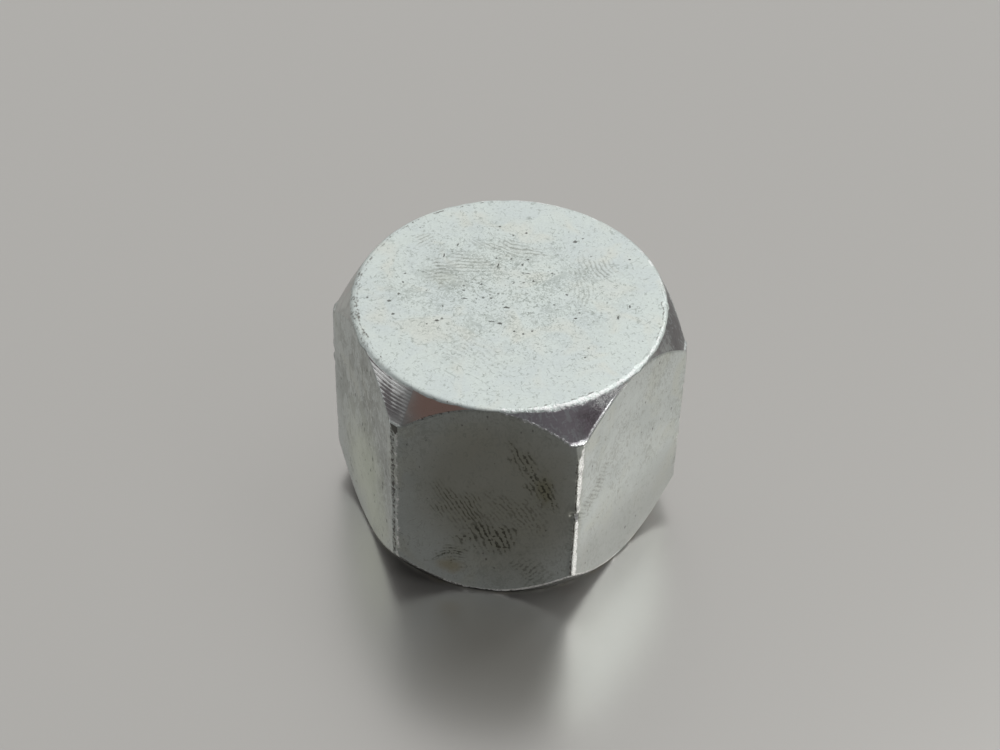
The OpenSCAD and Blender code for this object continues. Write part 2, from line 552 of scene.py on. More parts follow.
def makePitMarks():
    # scattered pits, each of its own size, one at most in each cell
    group, given = newGroup("pitMarks", spacing=1 * mm, reach=0.1, amount=0.5, clusterSize=4 * mm)
    spot = inUnits(group, given["vector"], given["spacing"])
    ragged = addNode(group, "TexNoise", {"Vector": spot, "Scale": 9.0, "Detail": 2.0}).outputs["Color"]
    warped = vectorMaths(group, "MULTIPLY_ADD", ragged, (0.22, 0.22, 0.22), spot)
    cells = addNode(group, "TexVoronoi", {"Vector": warped, "Scale": 1.0}, feature="F1").outputs
    chance = addNode(group, "SeparateColor", {0: cells["Color"]}).outputs
    clusters = noiseOf(group, given["vector"], given["clusterSize"])
    size = times(group, maths(group, "ADD", chance[1], 0.4), given["reach"])
    size = times(group, size, fade(group, clusters, 0.35, 0.65, 0.45, 1.3))
    pit = fade(group, maths(group, "DIVIDE", cells["Distance"], size), 1.15, 0.6)
    chosen = maths(group, "LESS_THAN", chance[0], given["amount"])
    return finishGroup(group, mask=times(group, pit, chosen))


def makeFleckMarks():
    # ragged flecks where a wrinkled noise runs high
    group, given = newGroup("fleckMarks", size=0.3 * mm, cover=0.2, clusterSize=3 * mm)
    wrinkles = noiseOf(group, given["vector"], given["size"], 3.0, 0.6, 1.6)
    clusters = noiseOf(group, given["vector"], given["clusterSize"])
    highest = maths(group, "SUBTRACT", 0.9, times(group, given["cover"], 0.4))
    level = timesPlus(group, clusters, -0.45, highest)
    return finishGroup(group, mask=fade(group, maths(group, "SUBTRACT", wrinkles, level), 0.0, 0.06))


def makeSpotMark():
    # one ragged spot at a place of its own, turned in its own plane
    group, given = newGroup("spotMark", place=(0, 0, 0), turn=(0, 0, 0), reach=(1, 1, 1), ragged=0.3,
                            soft=0.4)
    away = vectorMaths(group, "SUBTRACT", given["vector"], given["place"])
    local = addNode(group, "VectorRotate", {"Vector": away, "Rotation": given["turn"]},
                    rotation_type="EULER_XYZ", invert=True).outputs[0]
    shares = vectorMaths(group, "DIVIDE", local, given["reach"])
    distance = vectorMaths(group, "LENGTH", shares)
    edge = addNode(group, "TexNoise", {"Vector": shares, "Scale": 1.6, "Detail": 3.0, "Roughness": 0.6})
    ragged = timesPlus(group, centred(group, edge.outputs[0]), given["ragged"], distance)
    inner = maths(group, "SUBTRACT", 1.0, given["soft"])
    return finishGroup(group, mask=fade(group, ragged, 1.0, inner), local=local)


def makeRidgeMarks():
    # bent, broken parallel lines within one spot, as a greasy finger leaves them
    group, given = newGroup("ridgeMarks", place=(0, 0, 0), turn=(0, 0, 0), reach=(1, 1, 1),
                            pitch=0.45 * mm, bend=0.0, breakUp=0.5)
    spot = placeGroup(group, spotMark, vector=given["vector"], place=given["place"], turn=given["turn"],
                      reach=given["reach"], ragged=2.4, soft=0.8)
    local = addNode(group, "SeparateXYZ", {0: spot["local"]}).outputs
    bent = timesPlus(group, times(group, local[0], local[0]), given["bend"], local[1])
    wander = times(group, noiseOf(group, given["vector"], 1.1 * mm), 1.5)
    turns = maths(group, "ADD", maths(group, "DIVIDE", bent, given["pitch"]), wander)
    wave = maths(group, "SINE", times(group, turns, 2 * pi))
    dots = noiseOf(group, given["vector"], 0.26 * mm, 2.0, 0.6)
    breaks = times(group, centred(group, dots), given["breakUp"])
    lines = fade(group, timesPlus(group, breaks, 5.0, wave), 0.1, 0.9)
    return finishGroup(group, mask=times(group, lines, spot["mask"]), spot=spot["mask"])


def makeTurnedLines():
    # tool marks that repeat along one measure, such as the height, and fade round the piece
    group, given = newGroup("turnedLines", along=0.0, pitch=0.3 * mm)
    turns = maths(group, "DIVIDE", given["along"], given["pitch"])
    phase = timesPlus(group, noiseOf(group, given["vector"], 5 * mm, 1.0), 1.2, turns)
    wave = timesPlus(group, maths(group, "SINE", times(group, phase, 2 * pi)), 0.5, 0.5)
    sockets = {"W": times(group, phase, 2.6), "Scale": 1.0, "Detail": 4.0, "Roughness": 0.7}
    fine = addNode(group, "TexNoise", sockets, noise_dimensions="1D").outputs[0]
    patch = fade(group, noiseOf(group, given["vector"], 1.6 * mm), 0.3, 0.7, 0.35, 1.0)
    line = times(group, timesPlus(group, fine, 0.9, times(group, wave, 0.5)), patch)
    return finishGroup(group, line=line, streak=fade(group, line, 0.45, 0.8))


def makeRubbedAndLitEdges():
    # crests rubbed bright with a painted highlight, or bruised dark and rough with painted shade where the
    # wear is below 0
    group, given = newGroup("rubbedAndLitEdges", wear=0.0, chipSize=0.3 * mm)
    wear = given["wear"]
    chips = noiseOf(group, given["vector"], given["chipSize"], 4.0, 0.65)
    ragged = times(group, centred(group, chips), 3.2)
    rubbedAndLit = fade(group, maths(group, "ADD", wear, ragged), 0.3, 0.75)
    bruisedAndShaded = fade(group, maths(group, "SUBTRACT", ragged, wear), 0.2, 0.75)
    onEdge = fade(group, maths(group, "ABSOLUTE", wear), 0.02, 0.3)
    return finishGroup(group, bright=times(group, rubbedAndLit, fade(group, wear, 0.0, 0.1)),
                       dark=times(group, bruisedAndShaded, fade(group, wear, -0.05, -0.3)),
                       chips=times(group, ragged, onEdge))


def makeHairScratches():
    # fine wandering scratches, only here and there
    group, given = newGroup("hairScratches", size=3 * mm, width=0.006, amount=0.4)
    path = noiseOf(group, given["vector"], given["size"], 1.0, 0.5, 0.7)
    offLine = maths(group, "ABSOLUTE", centred(group, path))
    line = fade(group, maths(group, "DIVIDE", offLine, given["width"]), 1.0, 0.3)
    shifted = vectorMaths(group, "ADD", given["vector"], (0.4, 0.1, 0.2))
    where = noiseOf(group, shifted, times(group, given["size"], 0.6))
    threshold = maths(group, "SUBTRACT", 0.8, times(group, given["amount"], 0.5))
    chosen = fade(group, maths(group, "SUBTRACT", where, threshold), 0.0, 0.05)
    return finishGroup(group, mask=times(group, line, chosen))


plateTone = makePlateTone()
pitMarks = makePitMarks()
fleckMarks = makeFleckMarks()
spotMark = makeSpotMark()
ridgeMarks = makeRidgeMarks()
turnedLines = makeTurnedLines()
rubbedAndLitEdges = makeRubbedAndLitEdges()
hairScratches = makeHairScratches()
print("node groups made")


def rgb(red, green, blue):
    return (red, green, blue, 1.0)


def inMillimetres(values):
    return tuple(value * mm for value in values)


# what each finish starts from: how the kinds of mark change the roughness and the height
plating = {
    "leastRoughness": 0.08,
    "grainRough": 0.1,
    "pitRough": 0.2,
    "fleckRough": 0.06,
    "scratchRise": -0.2,
    "ridgeRough": 0.08,
    "ridgeRise": -0.5,
    "ridgeDepth": 0.8,              # half thickness of a ridge patch, in mm
    # dark crests: bruising with painted shade
    "bruiseAndShadeShare": 0.85,
    "bruiseRough": 0.1,
    "bruiseRise": -2.0,
    # bright crests: burnish with painted highlight
    "shineColor": rgb(0.93, 0.94, 0.93),
    "shineShare": 0.95,
    "shineRough": 0.2,
}


def startSkin(name, look):
    # a material whose colour, roughness and height are then built up mark by mark
    material = bpy.data.materials.new(name)
    material.use_nodes = True
    tree = material.node_tree
    tree.nodes["Principled BSDF"].inputs["Metallic"].default_value = 1.0
    place = addNode(tree, "TexCoord").outputs["Object"]
    ground = {key: look[key] for key in ("pale", "cloud", "tint", "cloudSize", "grainSize", "grainShare")}
    tone = placeGroup(tree, plateTone, vector=place, **ground)
    roughness = timesPlus(tree, tone["grain"], look["grainRough"], look["roughness"])
    height = times(tree, tone["grain"], look["grainHeight"])
    return {"look": look, "material": material, "tree": tree, "place": place, "color": tone["color"],
            "roughness": roughness, "height": height}


def layMark(skin, mask, color=None, share=0.0, rough=0.0, rise=0.0):
    # lays a colour of the look over the skin where the mask says, and roughens and raises it there
    tree = skin["tree"]
    if color:
        skin["color"] = blendColor(tree, times(tree, mask, share), skin["color"], skin["look"][color])
    if rough:
        skin["roughness"] = timesPlus(tree, mask, rough, skin["roughness"])
    if rise:
        skin["height"] = timesPlus(tree, mask, rise, skin["height"])


def squeezed(skin, squeeze):
    # squeeze under 1 draws marks out along the height
    return vectorMaths(skin["tree"], "MULTIPLY", skin["place"], (1, 1, squeeze))


def layMarks(skin, group, color, share, rough=0.0, rise=0.0, squeeze=1.0, within=1.0, **settings):
    # the marks that a node group scatters, kept within a mask
    tree = skin["tree"]
    marks = placeGroup(tree, group, vector=squeezed(skin, squeeze), **settings)["mask"]
    layMark(skin, times(tree, marks, within), color, share, rough, rise)


def layPits(skin, **pits):
    layMarks(skin, pitMarks, rough=skin["look"]["pitRough"], **pits)


def layFlecks(skin, **flecks):
    # short and ragged, thicker in some places than in others
    layMarks(skin, fleckMarks, rough=skin["look"]["fleckRough"], **flecks)


def layScratches(skin, **scratches):
    layMarks(skin, hairScratches, rise=skin["look"]["scratchRise"], **scratches)


def spotMask(skin, place, reach, turn=0.0, ragged=0.9, soft=0.8):
    # place and half widths are in mm
    return placeGroup(skin["tree"], spotMark, vector=skin["place"], place=inMillimetres(place),
                      turn=(0, 0, turn), reach=inMillimetres(reach), ragged=ragged, soft=soft)["mask"]


def laySpot(skin, color, share, **spot):
    mask = spotMask(skin, **spot)
    layMark(skin, mask, color, share)
    return mask


def layPatches(skin, patches, turnOf):
    # ridge patches never overlap much, so one running mask holds them all
    tree, look = skin["tree"], skin["look"]
    lines, spots = 0.0, 0.0
    for spot, reach, slant, pitch, bend, breakUp, strength in patches:
        made = placeGroup(tree, ridgeMarks, vector=skin["place"], place=inMillimetres(spot),
                          turn=turnOf(radians(slant)), reach=inMillimetres((*reach, look["ridgeDepth"])),
                          pitch=pitch * mm, bend=bend / mm, breakUp=breakUp)
        lines = maths(tree, "MAXIMUM", times(tree, made["mask"], strength), lines)
        spots = maths(tree, "MAXIMUM", times(tree, made["spot"], strength), spots)
    layMark(skin, spots, "filmColor", look["filmShare"])
    layMark(skin, lines, "ridgeColor", look["ridgeShare"], look["ridgeRough"], look["ridgeRise"])


def layEdgeWearAndLight(skin):
    tree, look = skin["tree"], skin["look"]
    wear = addNode(tree, "Attribute", attribute_name="wear").outputs["Fac"]
    worn = placeGroup(tree, rubbedAndLitEdges, vector=skin["place"], wear=wear, chipSize=look["chipSize"])
    # bruised crests with painted shade, then burnished crests with painted highlight
    layMark(skin, worn["dark"], "bruiseAndShadeColor", look["bruiseAndShadeShare"], look["bruiseRough"], look["bruiseRise"])
    layMark(skin, worn["bright"], "shineColor", look["shineShare"], look["shineRough"])
    layMark(skin, worn["chips"], rise=look["chipRise"])


def finishSkin(skin):
    tree, look = skin["tree"], skin["look"]
    shader = tree.nodes["Principled BSDF"].inputs
    sockets = {"Height": skin["height"], "Distance": look["depth"], "Strength": 1.0}
    roughness = maths(tree, "MAXIMUM", skin["roughness"], look["leastRoughness"])
    tree.links.new(skin["color"], shader["Base Color"])
    tree.links.new(roughness, shader["Roughness"])
    tree.links.new(addNode(tree, "Bump", sockets).outputs[0], shader["Normal"])
    return skin["material"]


zincFace = {
    **plating,
    "pale": rgb(0.65, 0.705, 0.675),
    "cloud": rgb(0.622, 0.677, 0.663),
    "tint": rgb(0.66, 0.69, 0.641),
    "cloudSize": 3.0 * mm,
    "grainSize": 0.16 * mm,
    "grainShare": 0.3,
    "grainHeight": 0.5,
    "roughness": 0.38,
    "depth": 0.012 * mm,
    "pitColor": rgb(0.10, 0.10, 0.09),
    "fleckColor": rgb(0.26, 0.29, 0.26),
    "stainColor": rgb(0.36, 0.37, 0.27),
    "filmColor": rgb(0.55, 0.53, 0.48),
    "filmShare": 0.15,
    "ridgeColor": rgb(0.17, 0.18, 0.145),
    "ridgeShare": 0.5,
    "bruiseAndShadeColor": rgb(0.15, 0.14, 0.125),
    "chipSize": 0.36 * mm,
    "chipRise": 2.6,
    # most marks lie within this spot
    "busy": dict(place=(-0.8, 0.8, 18.6), reach=(12.5, 10, 9), ragged=0.8, soft=0.9),
    "flecks": dict(color="fleckColor", share=0.42, size=0.3 * mm, cover=0.42, clusterSize=1.8 * mm),
    "stain": dict(color="stainColor", share=0.2, place=(-5, 1.4, 18.6), reach=(1.5, 1.1, 1), turn=0.2),
    "scuffs": dict(color="fleckColor", share=0.62, size=0.45 * mm, width=0.045, amount=0.6),
    "scuffsAtRim": 0.65,            # strength of the scuffs near the rim
    "scuffsAdded": 0.4,             # and what the busy spot adds
    "hairlines": dict(color="fleckColor", share=0.3, size=2.4 * mm, width=0.01, amount=0.5),
    "finePits": dict(color="pitColor", share=0.65, spacing=0.5 * mm, reach=0.15, amount=0.7,
                     clusterSize=2.5 * mm, rise=-0.3),
    "pits": dict(color="pitColor", share=0.8, spacing=1.2 * mm, reach=0.085, amount=0.9,
                 clusterSize=5 * mm, rise=-0.3),
    # ridge patches: place, half width and height, slant in degrees, pitch, bend, break-up, strength
    "patches": [
        ((-3.6, 2.9, 18.6), (3.0, 2.4), 5, 0.37, -0.05, 0.5, 0.8),
        ((-5.2, 2.2, 18.6), (1.4, 2.0), 15, 0.37, 0.1, 0.9, 1.0),
        ((-0.3, 5.3, 18.6), (3.5, 1.3), -12, 0.37, -0.09, 0.8, 0.9),
        ((5.6, 4.1, 18.6), (1.9, 2.0), -58, 0.34, -0.1, 0.9, 0.75),
        ((-7.0, 5.4, 18.6), (1.0, 0.9), 52, 0.34, 0.0, 0.6, 0.85),
        ((4.9, 1.5, 18.6), (2.0, 1.2), -84, 0.34, 0.12, 0.9, 0.55),
        ((-2.0, -5.5, 18.6), (4.0, 2.0), -30, 0.4, 0.03, 1.0, 0.3),
    ],
    # larger pits: x, y and half widths along x and y, in mm
    "dents": [
        (-4.7, -3.0, 0.2, 0.14), (-7.8, -2.85, 0.16, 0.13), (0.2, 7.3, 0.13, 0.1),
        (-0.35, -2.6, 0.22, 0.13), (-0.1, -0.9, 0.26, 0.1), (1.4, 2.15, 0.11, 0.1),
        (-3.15, -0.45, 0.28, 0.08), (0.75, -3.25, 0.1, 0.09), (1.4, -3.4, 0.11, 0.1),
        (5.0, -0.65, 0.11, 0.08), (4.8, -1.25, 0.15, 0.09), (3.15, -0.1, 0.1, 0.08),
        (-0.9, -2.5, 0.3, 0.06), (1.6, -1.2, 0.25, 0.06), (0.9, 2.9, 0.3, 0.06), (-5.3, 3.9, 0.07, 0.3),
        (-1.3, 3.4, 0.06, 0.35), (0.4, 3.8, 0.09, 0.22), (8.4, 0.6, 0.09, 0.22), (3.9, 1.1, 0.14, 0.08),
        (-1.55, 4.2, 0.12, 0.1), (0.7, 4.4, 0.13, 0.11), (0.05, 1.75, 0.11, 0.09), (2.6, 3.2, 0.12, 0.09),
        (-1.8, 7.7, 0.11, 0.1), (-7.7, 1.5, 0.12, 0.1), (-7.7, 0.55, 0.11, 0.09), (-4.5, 5.2, 0.07, 0.2),
        (-2.2, 1.25, 0.12, 0.1), (7.9, 5.6, 0.11, 0.1), (7.7, -0.7, 0.08, 0.2),
    ],
    "dentGrain": 0.15 * mm,         # size of the noise that makes them ragged
    "dentWarp": 0.2,                # and how far it pushes, in mm
    "dentShare": 0.8,
    "dentRise": -2.0,
}


def layDents(skin):
    tree, look = skin["tree"], skin["look"]
    warp = look["dentWarp"]
    ragged = noiseOf(tree, skin["place"], look["dentGrain"], output="Color")
    warped = vectorMaths(tree, "MULTIPLY_ADD", ragged, inMillimetres((warp, warp, warp)), skin["place"])
    mask = 0.0
    for x, y, width, depth in look["dents"]:
        # the warp pushes half its strength to one side
        scale = (1 / width / mm, 1 / depth / mm, 0.0)
        centre = (-(x + warp / 2) / width, -(y + warp / 2) / depth, 0.0)
        reach = vectorMaths(tree, "LENGTH", vectorMaths(tree, "MULTIPLY_ADD", warped, scale, centre))
        mask = maths(tree, "MAXIMUM", fade(tree, reach, 1.0, 0.5), mask)
    layMark(skin, mask, "pitColor", look["dentShare"], look["pitRough"], look["dentRise"])


def makeFaceZinc():
    look = zincFace
    skin = startSkin("zincFace", look)
    busy = spotMask(skin, **look["busy"])
    layFlecks(skin, **look["flecks"], within=busy)
    laySpot(skin, **look["stain"])
    layPatches(skin, look["patches"], lambda slant: (0, 0, slant))
    middle = timesPlus(skin["tree"], busy, look["scuffsAdded"], look["scuffsAtRim"])
    layScratches(skin, **look["scuffs"], within=middle)
    layScratches(skin, **look["hairlines"])
    layPits(skin, **look["finePits"], within=busy)
    layPits(skin, **look["pits"])
    layDents(skin)
    layEdgeWearAndLight(skin)
    return finishSkin(skin)


zincCone = {
    **plating,
    "pale": rgb(0.60, 0.62, 0.595),
    "cloud": rgb(0.46, 0.475, 0.455),
    "tint": rgb(0.54, 0.52, 0.50),
    "cloudSize": 1.5 * mm,
    "grainSize": 0.12 * mm,
    "grainShare": 0.3,
    "grainHeight": 0.2,
    "roughness": 0.24,
    "depth": 0.022 * mm,
    "streakColor": rgb(0.92, 0.93, 0.92),
    "grooveColor": rgb(0.14, 0.12, 0.125),
    # brown chromate tone and painted reflection
    "brownToneAndReflectionColor": rgb(0.62, 0.40, 0.33),
    "shadeColor": rgb(0.17, 0.19, 0.195),
    "purpleColor": rgb(0.62, 0.62, 0.64),
    "mottleColor": rgb(0.34, 0.28, 0.325),
    # grime and painted contact shade on the lower chamfer
    "grimeAndShadeColor": rgb(0.045, 0.042, 0.04),
    "bruiseAndShadeColor": rgb(0.12, 0.105, 0.10),
    "chipSize": 0.22 * mm,
    "chipRise": 1.0,
    # one stretch has a brown tone that is partly a painted reflection, with a sharp border where the tool had
    # chattered
    "brownToneAndReflection": dict(place=(-3.2, -10.6, 18.0), reach=(3.4, 2.6, 4.0), ragged=0.3, soft=0.7),
    "brownToneAndReflectionShare": 0.9,
    "chatter": dict(place=(-8.0, -8.0, 17.4), reach=(4.4, 4.4, 3.4), ragged=0.5, soft=0.5),
    "borderAcross": (0.883, -0.469, 0.0),   # square to that border, at azimuth -118
    "borderWidth": 0.12 * mm,
    # tool lines: their strength elsewhere and what the chatter adds, and their groove, streak and relief
    "linePitch": 0.22 * mm,
    "lineForce": 0.05,
    "chatterForce": 0.95,
    "grooveShare": 0.85,
    "streakShare": 0.9,
    "streakRough": 0.06,
    "lineRise": 2.2,
    # toned stretches, each with flecks of its own
    "tones": [
        (dict(color="shadeColor", share=0.85, place=(11.2, 0.5, 17.5), reach=(3.5, 6.0, 4.0)),
         dict(color="grooveColor", share=0.7, size=0.6 * mm, cover=0.6, clusterSize=1.5 * mm, squeeze=0.3)),
        (dict(color="purpleColor", share=1.0, place=(5.6, -9.6, 17.4), reach=(8.0, 6.0, 4.0)),
         dict(color="mottleColor", share=0.6, size=0.5 * mm, cover=0.5, clusterSize=1.5 * mm, squeeze=0.3)),
        (dict(color="mottleColor", share=0.75, place=(6.8, -9.3, 17.2), reach=(1.9, 1.9, 1.5)),
         dict(color="grooveColor", share=0.6, size=0.22 * mm, cover=0.6, clusterSize=0.8 * mm, squeeze=0.6)),
    ],
    "pits": dict(color="grooveColor", share=0.6, spacing=0.7 * mm, reach=0.12, amount=0.6,
                 clusterSize=3 * mm, rise=-0.6),
    "scraped": dict(place=(7.8, -8.1, 18.2), reach=(1.8, 1.8, 1.2), ragged=0.6, soft=0.6),
    "specks": dict(color="streakColor", share=1.0, size=0.15 * mm, cover=0.4, clusterSize=0.8 * mm, rise=0.6),
    # oily grime and painted contact shade under the cap's near side: it starts and is full at these heights
    # and distances across
    "grimeAndShadeHeights": (3.6 * mm, 2.8 * mm),
    "grimeAndShadeAcross": (9.5 * mm, 6.5 * mm),
    "grimeAndShadeShare": 0.85,
}


def makeConeZinc():
    look = zincCone
    skin = startSkin("zincCone", look)
    tree = skin["tree"]
    past = vectorMaths(tree, "DOT_PRODUCT", skin["place"], look["borderAcross"])
    beyond = fade(tree, past, 0.0, look["borderWidth"])
    # painted brown reflection, partly a chromate tone, on the near cone
    brownToneAndReflection = times(tree, spotMask(skin, **look["brownToneAndReflection"]), beyond)
    before = maths(tree, "SUBTRACT", 1.0, beyond)
    chatter = times(tree, spotMask(skin, **look["chatter"]), before)
    for spot, flecks in look["tones"]:
        layFlecks(skin, **flecks, within=laySpot(skin, **spot))
    layMark(skin, chatter, "streakColor", look["streakShare"], look["streakRough"])
    along = addNode(tree, "SeparateXYZ", {0: skin["place"]}).outputs[2]
    turned = placeGroup(tree, turnedLines, vector=skin["place"], along=along, pitch=look["linePitch"])
    calm = timesPlus(tree, brownToneAndReflection, -look["brownToneAndReflectionShare"], 1.0)
    force = times(tree, calm, timesPlus(tree, chatter, look["chatterForce"], look["lineForce"]))
    grooves = fade(tree, turned["line"], 0.45, 0.28)
    layMark(skin, times(tree, grooves, force), "grooveColor", look["grooveShare"])
    layMark(skin, times(tree, turned["streak"], force), "streakColor", look["streakShare"])
    layMark(skin, times(tree, turned["line"], force), rise=look["lineRise"])
    layPits(skin, **look["pits"])
    layFlecks(skin, **look["specks"], within=spotMask(skin, **look["scraped"]))
    # painted contact shade with some grime: the lower chamfer darkens near the floor on the cap's near side
    under = times(tree, fade(tree, along, *look["grimeAndShadeHeights"]), fade(tree, past, *look["grimeAndShadeAcross"]))
    layMark(skin, under, "grimeAndShadeColor", look["grimeAndShadeShare"])
    # the brown tone with its painted reflection
    layMark(skin, brownToneAndReflection, "brownToneAndReflectionColor", look["brownToneAndReflectionShare"])
    layEdgeWearAndLight(skin)
    return finishSkin(skin)


zincFlat = {
    **plating,
    "pale": rgb(0.60, 0.64, 0.625),
    "cloud": rgb(0.54, 0.58, 0.565),
    "tint": rgb(0.58, 0.61, 0.57),
    "cloudSize": 3.4 * mm,
    "grainSize": 0.14 * mm,
    "grainShare": 0.35,
    "grainHeight": 0.15,
    "roughness": 0.26,
    "depth": 0.012 * mm,
    "pitColor": rgb(0.13, 0.125, 0.115),
    "fleckColor": rgb(0.30, 0.31, 0.28),
    "scuffColor": rgb(0.36, 0.37, 0.34),
    # oil film and painted shade
    "oilAndShadeColor": rgb(0.34, 0.33, 0.27),
    "filmColor": rgb(0.26, 0.25, 0.16),
    "filmShare": 0.22,
    "ridgeColor": rgb(0.05, 0.05, 0.035),
    "ridgeShare": 0.8,
    "stainColor": rgb(0.42, 0.36, 0.22),
    "smearColor": rgb(0.72, 0.77, 0.66),
    # painted shade at the foot of the flat to the right
    "shadeColor": rgb(0.30, 0.31, 0.295),
    "shineColor": rgb(0.95, 0.96, 0.95),
    "shineRough": -0.05,
    "bruiseAndShadeColor": rgb(0.12, 0.11, 0.10),
    "chipSize": 0.3 * mm,
    "chipRise": 1.2,
    # the bar's drawn surface: fine lines along its length
    "drawnWidth": 0.16 * mm,
    "drawnLength": 3.5 * mm,
    "drawnShare": 0.05,
    "drawnRise": -0.15,
    "flecks": dict(color="fleckColor", share=0.3, size=0.35 * mm, cover=0.3, clusterSize=3 * mm, squeeze=0.6),
    "scratches": dict(color="fleckColor", share=0.5, size=0.9 * mm, width=0.02, amount=0.45),
    "hairlines": dict(color="fleckColor", share=0.6, size=2.2 * mm, width=0.008, amount=0.45),
    "pits": dict(color="pitColor", share=0.6, spacing=0.6 * mm, reach=0.12, amount=0.5,
                 clusterSize=3 * mm, squeeze=0.6, rise=-0.1),
    # the -Y flat: a film of oil with painted shade over most of it, a stain, a greasy film and ridge patches,
    # as on the end face
    "oilAndShade": dict(color="oilAndShadeColor", share=0.7, place=(1.2, -11.1, 10.5), reach=(8.5, 1.0, 11.5), ragged=0.4,
                soft=0.6),
    "stain": dict(color="stainColor", share=0.6, place=(-2.4, -11.1, 2.4), reach=(1.4, 1.0, 1.1)),
    "film": dict(color="filmColor", share=0.6, place=(4.1, -11.1, 11.4), reach=(0.9, 1.0, 2.2)),
    "patches": [
        ((-1.6, -11.1, 8.7), (3.2, 2.2), -62, 0.3, 0.0, 0.9, 0.75),
        ((0.5, -11.1, 5.95), (2.5, 2.9), -68, 0.42, 0.05, 1.4, 1.0),
        ((2.7, -11.1, 14.0), (2.3, 1.1), -66, 0.4, 0.0, 1.2, 0.9),
        ((4.0, -11.1, 11.4), (3.0, 1.2), -66, 0.36, 0.06, 1.9, 1.0),
        ((-2.2, -11.1, 3.9), (1.5, 1.1), 10, 0.3, 0.2, 1.5, 0.95),
        ((2.4, -11.1, 8.6), (3.4, 3.0), -58, 0.34, 0.04, 1.8, 0.45),
        ((3.5, -11.1, 2.8), (1.7, 2.4), 55, 0.36, 0.0, 1.4, 0.5),
    ],
    # the flat to its right: a ridge patch, and painted shade, darker towards its foot, between these heights
    # and distances outwards
    "sidePatches": [((7.2, -9.7, 9.5), (1.2, 4.4), -40, 0.3, 0.0, 1.0, 0.4)],
    "sideOutward": (0.866, -0.5, 0.0),
    "paintedShadeHeights": (9 * mm, 3 * mm),
    "paintedShadeOutward": (10.6 * mm, 11.0 * mm),
    "paintedShadeShare": 0.65,
    # the flat to its left: scuffed and smeared
    "scuffed": dict(place=(-9.7, -5.6, 10.5), reach=(6, 7.5, 11), ragged=0.5, soft=0.5),
    "scuffs": [
        dict(color="scuffColor", share=0.45, size=1.4 * mm, cover=0.5, clusterSize=3 * mm, squeeze=0.6),
        dict(color="scuffColor", share=0.5, size=0.4 * mm, cover=0.36, clusterSize=3 * mm, squeeze=0.4),
    ],
    "smear": dict(color="smearColor", share=0.9, place=(-9.2, -6.2, 5.0), reach=(6.0, 6.0, 7.5)),
    "scuffPits": dict(color="pitColor", share=0.6, spacing=0.8 * mm, reach=0.14, amount=0.7,
                      clusterSize=3 * mm, squeeze=0.5, rise=-0.5),
}


def makeFlatZinc():
    look = zincFlat
    skin = startSkin("zincFlat", look)
    tree = skin["tree"]
    drawnPlace = squeezed(skin, look["drawnWidth"] / look["drawnLength"])
    drawn = fade(tree, noiseOf(tree, drawnPlace, look["drawnWidth"], 3.0, 0.6), 0.5, 0.7)
    layMark(skin, drawn, "fleckColor", look["drawnShare"], rise=look["drawnRise"])
    # oil film and painted shade darken most of the -Y flat
    laySpot(skin, **look["oilAndShade"])
    layFlecks(skin, **look["flecks"])
    along = addNode(tree, "SeparateXYZ", {0: skin["place"]}).outputs[2]
    # painted shade: the flat to the right darkens towards its foot
    outward = vectorMaths(tree, "DOT_PRODUCT", skin["place"], look["sideOutward"])
    paintedShade = times(tree, fade(tree, along, *look["paintedShadeHeights"]), fade(tree, outward, *look["paintedShadeOutward"]))
    layMark(skin, paintedShade, "shadeColor", look["paintedShadeShare"])
    scuffed = spotMask(skin, **look["scuffed"])
    for scuffs in look["scuffs"]:
        layFlecks(skin, **scuffs, within=scuffed)
    laySpot(skin, **look["smear"])
    layPits(skin, **look["scuffPits"], within=scuffed)
    laySpot(skin, **look["stain"])
    laySpot(skin, **look["film"])
    layPatches(skin, look["patches"], lambda slant: (pi / 2, -slant, 0))
    layPatches(skin, look["sidePatches"], lambda slant: (pi / 2, -slant, pi / 3))
    layScratches(skin, **look["scratches"])
    layScratches(skin, **look["hairlines"])
    layPits(skin, **look["pits"])
    layEdgeWearAndLight(skin)
    return finishSkin(skin)


zincHollow = {
    **plating,
    "pale": rgb(0.60, 0.62, 0.59),
    "cloud": rgb(0.46, 0.46, 0.43),
    "tint": rgb(0.52, 0.48, 0.40),
    "cloudSize": 2.4 * mm,
    "grainSize": 0.12 * mm,
    "grainShare": 0.25,
    "grainHeight": 0.3,
    "roughness": 0.28,
    "depth": 0.01 * mm,
    "bruiseAndShadeColor": rgb(0.14, 0.13, 0.115),
    "chipSize": 0.25 * mm,
    "chipRise": 1.5,
    "linePitch": 0.16 * mm,
    "lineShare": 0.3,
    "lineRise": 0.9,
    "pits": dict(color="grimeAndShadeColor", share=0.5, spacing=0.8 * mm, reach=0.12, amount=0.6,
                 clusterSize=3 * mm, rise=-1.6),
    # the roots of the thread are darker, from a little way in past the mouth: it starts and is full at these
    # radii and heights
    "grimeAndShadeColor": rgb(0.15, 0.13, 0.10),
    "grimeAndShadeShare": 0.55,
    "grimeRough": 0.2,
    "grimeSize": 1.2 * mm,
    "grimeWander": 0.6 * mm,
    "grimeRadii": (9.35 * mm, 9.75 * mm),
    "grimeAndShadeHeights": (0.5 * mm, 1.2 * mm),
}


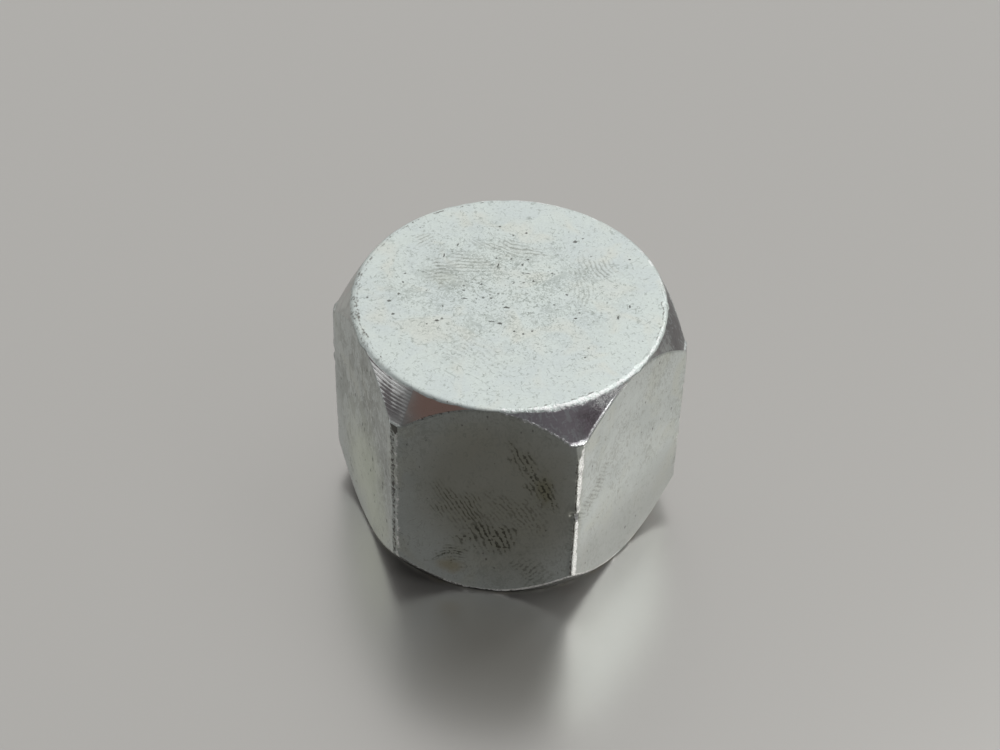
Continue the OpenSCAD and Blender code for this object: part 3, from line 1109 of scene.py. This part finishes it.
def makeHollowZinc():
    look = zincHollow
    skin = startSkin("zincHollow", look)
    tree = skin["tree"]
    parts = addNode(tree, "SeparateXYZ", {0: skin["place"]}).outputs
    flatPlace = addNode(tree, "CombineXYZ", {0: parts[0], 1: parts[1]}).outputs[0]
    radius = vectorMaths(tree, "LENGTH", flatPlace)
    turned = placeGroup(tree, turnedLines, vector=skin["place"], along=maths(tree, "ADD", radius, parts[2]),
                        pitch=look["linePitch"])
    layMark(skin, fade(tree, turned["line"], 0.42, 0.25), "grimeAndShadeColor", look["lineShare"])
    layMark(skin, turned["line"], rise=look["lineRise"])
    grime = noiseOf(tree, skin["place"], look["grimeSize"], 4.0, 0.65)
    roots = fade(tree, timesPlus(tree, grime, look["grimeWander"], radius), *look["grimeRadii"])
    inside = fade(tree, parts[2], *look["grimeAndShadeHeights"])
    layMark(skin, times(tree, inside, roots), "grimeAndShadeColor", look["grimeAndShadeShare"], look["grimeRough"])
    layPits(skin, **look["pits"])
    layEdgeWearAndLight(skin)
    return finishSkin(skin)


# in the order of the cap's finishes
zincs = [makeFaceZinc(), makeConeZinc(), makeFlatZinc(), makeHollowZinc()]
print("zinc materials made")


def buildCap(materials):
    body = meshObject("capBody", shapeCap())
    cutter = meshObject("threadCut", shapeThreadCut())
    for material in materials:
        body.data.materials.append(material)
        cutter.data.materials.append(material)
    tap = body.modifiers.new("tap", "BOOLEAN")
    tap.operation = "DIFFERENCE"
    tap.solver = "EXACT"
    tap.object = cutter
    graph = bpy.context.evaluated_depsgraph_get()
    tapped = bpy.data.meshes.new_from_object(body.evaluated_get(graph))
    body.modifiers.clear()
    body.data = tapped
    bpy.data.objects.remove(cutter)
    print("cap shaped:", len(tapped.polygons), "faces")
    return body


capBody = buildCap(zincs)
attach(capBody, "root")
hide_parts("cap_body")

studio = {
    "floorSize": 0.8,
    "floorColor": rgb(0.45, 0.44, 0.42),
    "floorMetallic": 0.85,
    "floorRoughness": 0.28,
    "dimSky": rgb(0.145, 0.145, 0.15),
    "brightSky": rgb(0.95, 0.95, 0.95),
    "brightTowards": (0.11, 0.634, 0.766),  # unit vector, behind the cap and up
    "skyFrom": -0.1,                # the sky brightens between these two cosines
    "skyTo": 0.85,
    # lamps: place, width, height and power
    "lamps": [
        ((0.316, 0.213, 0.587), 0.25, 0.25, 0.7),
        ((0.479, -0.155, 0.486), 0.2, 0.2, 0.6),
        ((-0.6, -0.08, 0.08), 0.35, 0.14, 0.14),
    ],
}


def addFloor():
    bm = bmesh.new()
    bmesh.ops.create_grid(bm, x_segments=1, y_segments=1, size=studio["floorSize"])
    floor = meshObject("floor", bm)
    paint = bpy.data.materials.new("satinFloor")
    paint.use_nodes = True
    shader = paint.node_tree.nodes["Principled BSDF"].inputs
    shader["Base Color"].default_value = studio["floorColor"]
    shader["Metallic"].default_value = studio["floorMetallic"]
    shader["Roughness"].default_value = studio["floorRoughness"]
    floor.data.materials.append(paint)


def addSky():
    # soft and plain, brighter behind the cap and overhead than on the camera's side
    world = bpy.data.worlds.new("studioSky")
    world.use_nodes = True
    tree = world.node_tree
    towards = addNode(tree, "TexCoord").outputs["Generated"]
    facing = vectorMaths(tree, "DOT_PRODUCT", towards, studio["brightTowards"])
    share = fade(tree, facing, studio["skyFrom"], studio["skyTo"])
    color = blendColor(tree, share, studio["dimSky"], studio["brightSky"])
    tree.links.new(color, tree.nodes["Background"].inputs["Color"])
    scene.world = world


def addLamps():
    for place, width, height, power in studio["lamps"]:
        data = bpy.data.lights.new("softbox", "AREA")
        data.shape = "RECTANGLE"
        data.energy = power
        data.size = width
        data.size_y = height
        lamp = bpy.data.objects.new("softbox", data)
        lamp.location = place
        lamp.rotation_euler = (-lamp.location).to_track_quat("-Z", "Y").to_euler()
        scene.collection.objects.link(lamp)


addFloor()
addSky()
addLamps()
scene.view_settings.view_transform = "Standard"
print("floor, sky and lamps set")
